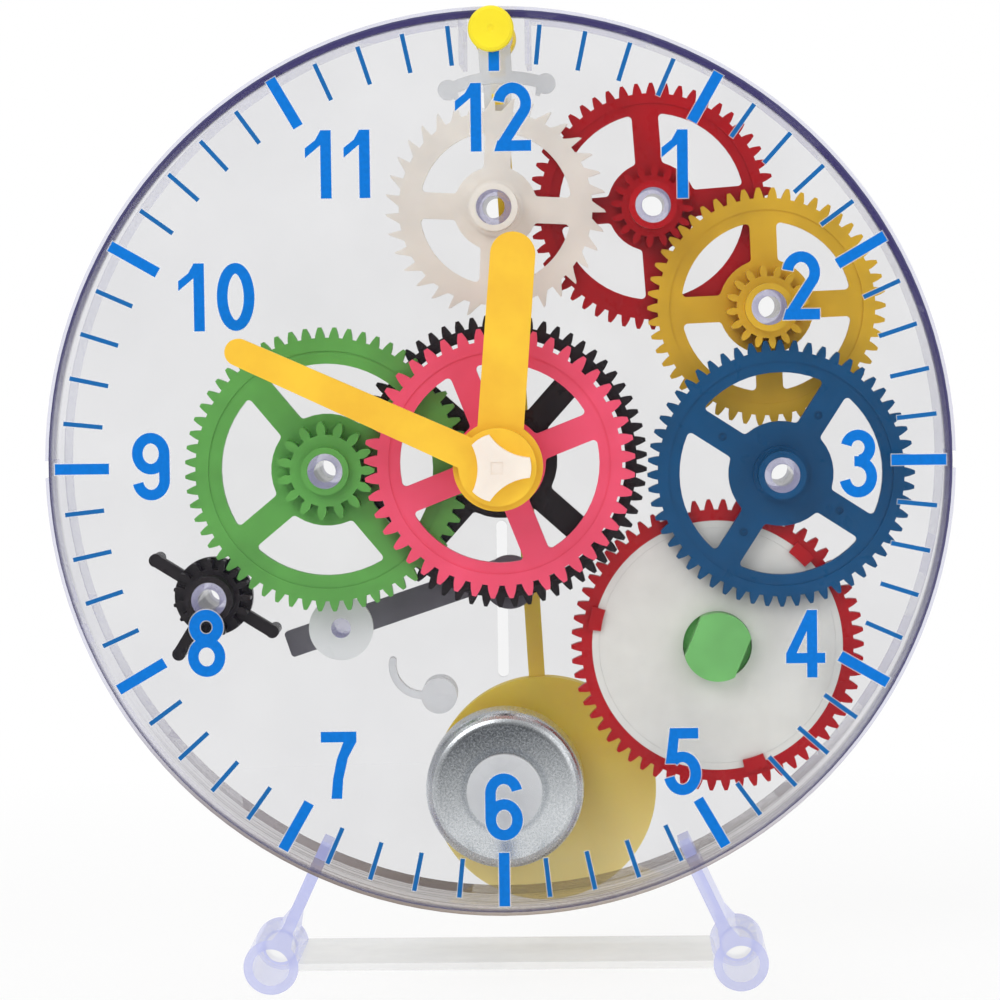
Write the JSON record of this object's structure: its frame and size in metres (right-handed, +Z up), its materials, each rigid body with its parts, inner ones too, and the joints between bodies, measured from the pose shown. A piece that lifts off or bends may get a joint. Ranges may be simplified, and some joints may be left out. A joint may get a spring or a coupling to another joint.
{
  "type": "geared teaching clock",
  "caption": "Skeleton mantel clock with a clear round case on ring feet, colour-coded gear train, anchor escapement, pendulum, and a bell struck by a falling hammer.",
  "frame": {"origin": "centre of the base of the bounding box, on the surface that the feet stand on", "axes": "+Z up, -Y is the dial side, +X to the right as seen from the front"},
  "size_m": [0.196, 0.0661, 0.2131],
  "materials": {
    "clear_plastic": "clear, polished",
    "rim_plastic": "clear, seen edge-on as lavender",
    "frosted_plastic": "milky, translucent",
    "green_plastic": "moulded, satin",
    "pink_plastic": "moulded, satin",
    "black_plastic": "moulded, satin",
    "blue_plastic": "moulded, satin",
    "yellow_plastic": "moulded, satin",
    "red_plastic": "moulded, satin",
    "cream_plastic": "moulded, satin",
    "hand_plastic": "moulded, satin",
    "cap_plastic": "moulded, glossy",
    "key_plastic": "moulded, satin",
    "grey_plastic": "moulded, matt",
    "spring_steel": "spring strip",
    "bell_chrome": "polished"
  },
  "bodies": {
    "root": {"front_plate": "clear_plastic", "case_rim": "rim_plastic", "rear_plate": "clear_plastic", "wheel_posts": "rim_plastic", "centre_post": "rim_plastic", "left_leg": "rim_plastic", "right_leg": "rim_plastic", "cross_bar": "clear_plastic", "bell": "bell_chrome", "bell_post": "clear_plastic", "bell_washer": "clear_plastic", "hammer_post": "clear_plastic", "hammer_cap": "frosted_plastic", "hammer_stop": "frosted_plastic", "click_post": "clear_plastic"},
    "barrel": {"barrel_gear": "red_plastic", "barrel_drum": "cream_plastic", "drum_cover": "cream_plastic", "mainspring": "spring_steel"},
    "winder": {"winding_arbor": "key_plastic", "winding_key": "key_plastic", "ratchet_wheel": "key_plastic"},
    "click": {"click": "key_plastic"},
    "minute": {"minute_wheel": "black_plastic", "minute_hand": "hand_plastic", "hand_cap": "cream_plastic"},
    "hour": {"hour_wheel": "pink_plastic", "hour_hand": "hand_plastic"},
    "motion": {"motion_wheel": "green_plastic"},
    "star": {"strike_star": "black_plastic"},
    "second": {"second_wheel": "blue_plastic"},
    "third": {"third_wheel": "yellow_plastic"},
    "fourth": {"fourth_wheel": "red_plastic"},
    "escape": {"escape_wheel": "cream_plastic"},
    "pendulum": {"anchor": "frosted_plastic", "pivot_pin": "cap_plastic", "pendulum_rod": "yellow_plastic"},
    "bob": {"pendulum_bob": "yellow_plastic"},
    "hammer": {"hammer_lever": "grey_plastic", "hammer_striker": "grey_plastic"}
  },
  "joints": [
    {"name": "barrel_spin", "type": "hinge", "parent": "root", "child": "barrel", "pos_m": [0.04695, -0.00275, 0.07425], "axis": [0, 1, 0], "continuous": true},
    {"name": "minute_spin", "type": "hinge", "parent": "root", "child": "minute", "pos_m": [0, -0.00275, 0.11512], "axis": [0, 1, 0], "continuous": true},
    {"name": "hour_spin", "type": "hinge", "parent": "root", "child": "hour", "pos_m": [0, -0.00275, 0.11512], "axis": [0, 1, 0], "continuous": true},
    {"name": "motion_spin", "type": "hinge", "parent": "root", "child": "motion", "pos_m": [-0.03773, -0.00275, 0.11393], "axis": [0, 1, 0], "continuous": true},
    {"name": "star_spin", "type": "hinge", "parent": "root", "child": "star", "pos_m": [-0.06338, -0.00275, 0.08624], "axis": [0, 1, 0], "continuous": true},
    {"name": "second_spin", "type": "hinge", "parent": "root", "child": "second", "pos_m": [0.06098, -0.00275, 0.11197], "axis": [0, 1, 0], "continuous": true},
    {"name": "third_spin", "type": "hinge", "parent": "root", "child": "third", "pos_m": [0.05845, -0.00275, 0.14814], "axis": [0, 1, 0], "continuous": true},
    {"name": "fourth_spin", "type": "hinge", "parent": "root", "child": "fourth", "pos_m": [0.03374, -0.00275, 0.17038], "axis": [0, 1, 0], "continuous": true},
    {"name": "escape_spin", "type": "hinge", "parent": "root", "child": "escape", "pos_m": [-0.00051, -0.00275, 0.17038], "axis": [0, 1, 0], "continuous": true},
    {"name": "pendulum_swing", "type": "hinge", "parent": "root", "child": "pendulum", "pos_m": [-0.00051, -0.00275, 0.20822], "axis": [0, -1, 0], "range_deg": [-10, 4]},
    {"name": "bob_slide", "type": "slide", "parent": "pendulum", "child": "bob", "axis": [0.0523, 0, -0.9986], "range_m": [-0.006, 0.006]},
    {"name": "hammer_swing", "type": "hinge", "parent": "root", "child": "hammer", "pos_m": [-0.0358, 0.00325, 0.07852], "axis": [0, 1, 0], "range_deg": [0, 33]},
    {"name": "key_turn", "type": "hinge", "parent": "root", "child": "winder", "pos_m": [0.04695, -0.00275, 0.07425], "axis": [0, 1, 0], "continuous": true},
    {"name": "click_lift", "type": "hinge", "parent": "root", "child": "click", "pos_m": [0.04828, 0.00825, 0.05529], "axis": [0, 1, 0], "range_deg": [0, 12], "stiffness_Nm_per_rad": 0.0005, "springref_deg": -5.73}
  ],
  "couplings": [
    {"joint": "minute_spin", "follows": "barrel_spin", "ratio": -1},
    {"joint": "motion_spin", "follows": "barrel_spin", "ratio": 0.25},
    {"joint": "hour_spin", "follows": "barrel_spin", "ratio": -0.083333},
    {"joint": "star_spin", "follows": "barrel_spin", "ratio": -1},
    {"joint": "second_spin", "follows": "barrel_spin", "ratio": -3.4444},
    {"joint": "third_spin", "follows": "barrel_spin", "ratio": 12.056},
    {"joint": "fourth_spin", "follows": "barrel_spin", "ratio": -37.674},
    {"joint": "escape_spin", "follows": "barrel_spin", "ratio": 122.44}
  ]
}
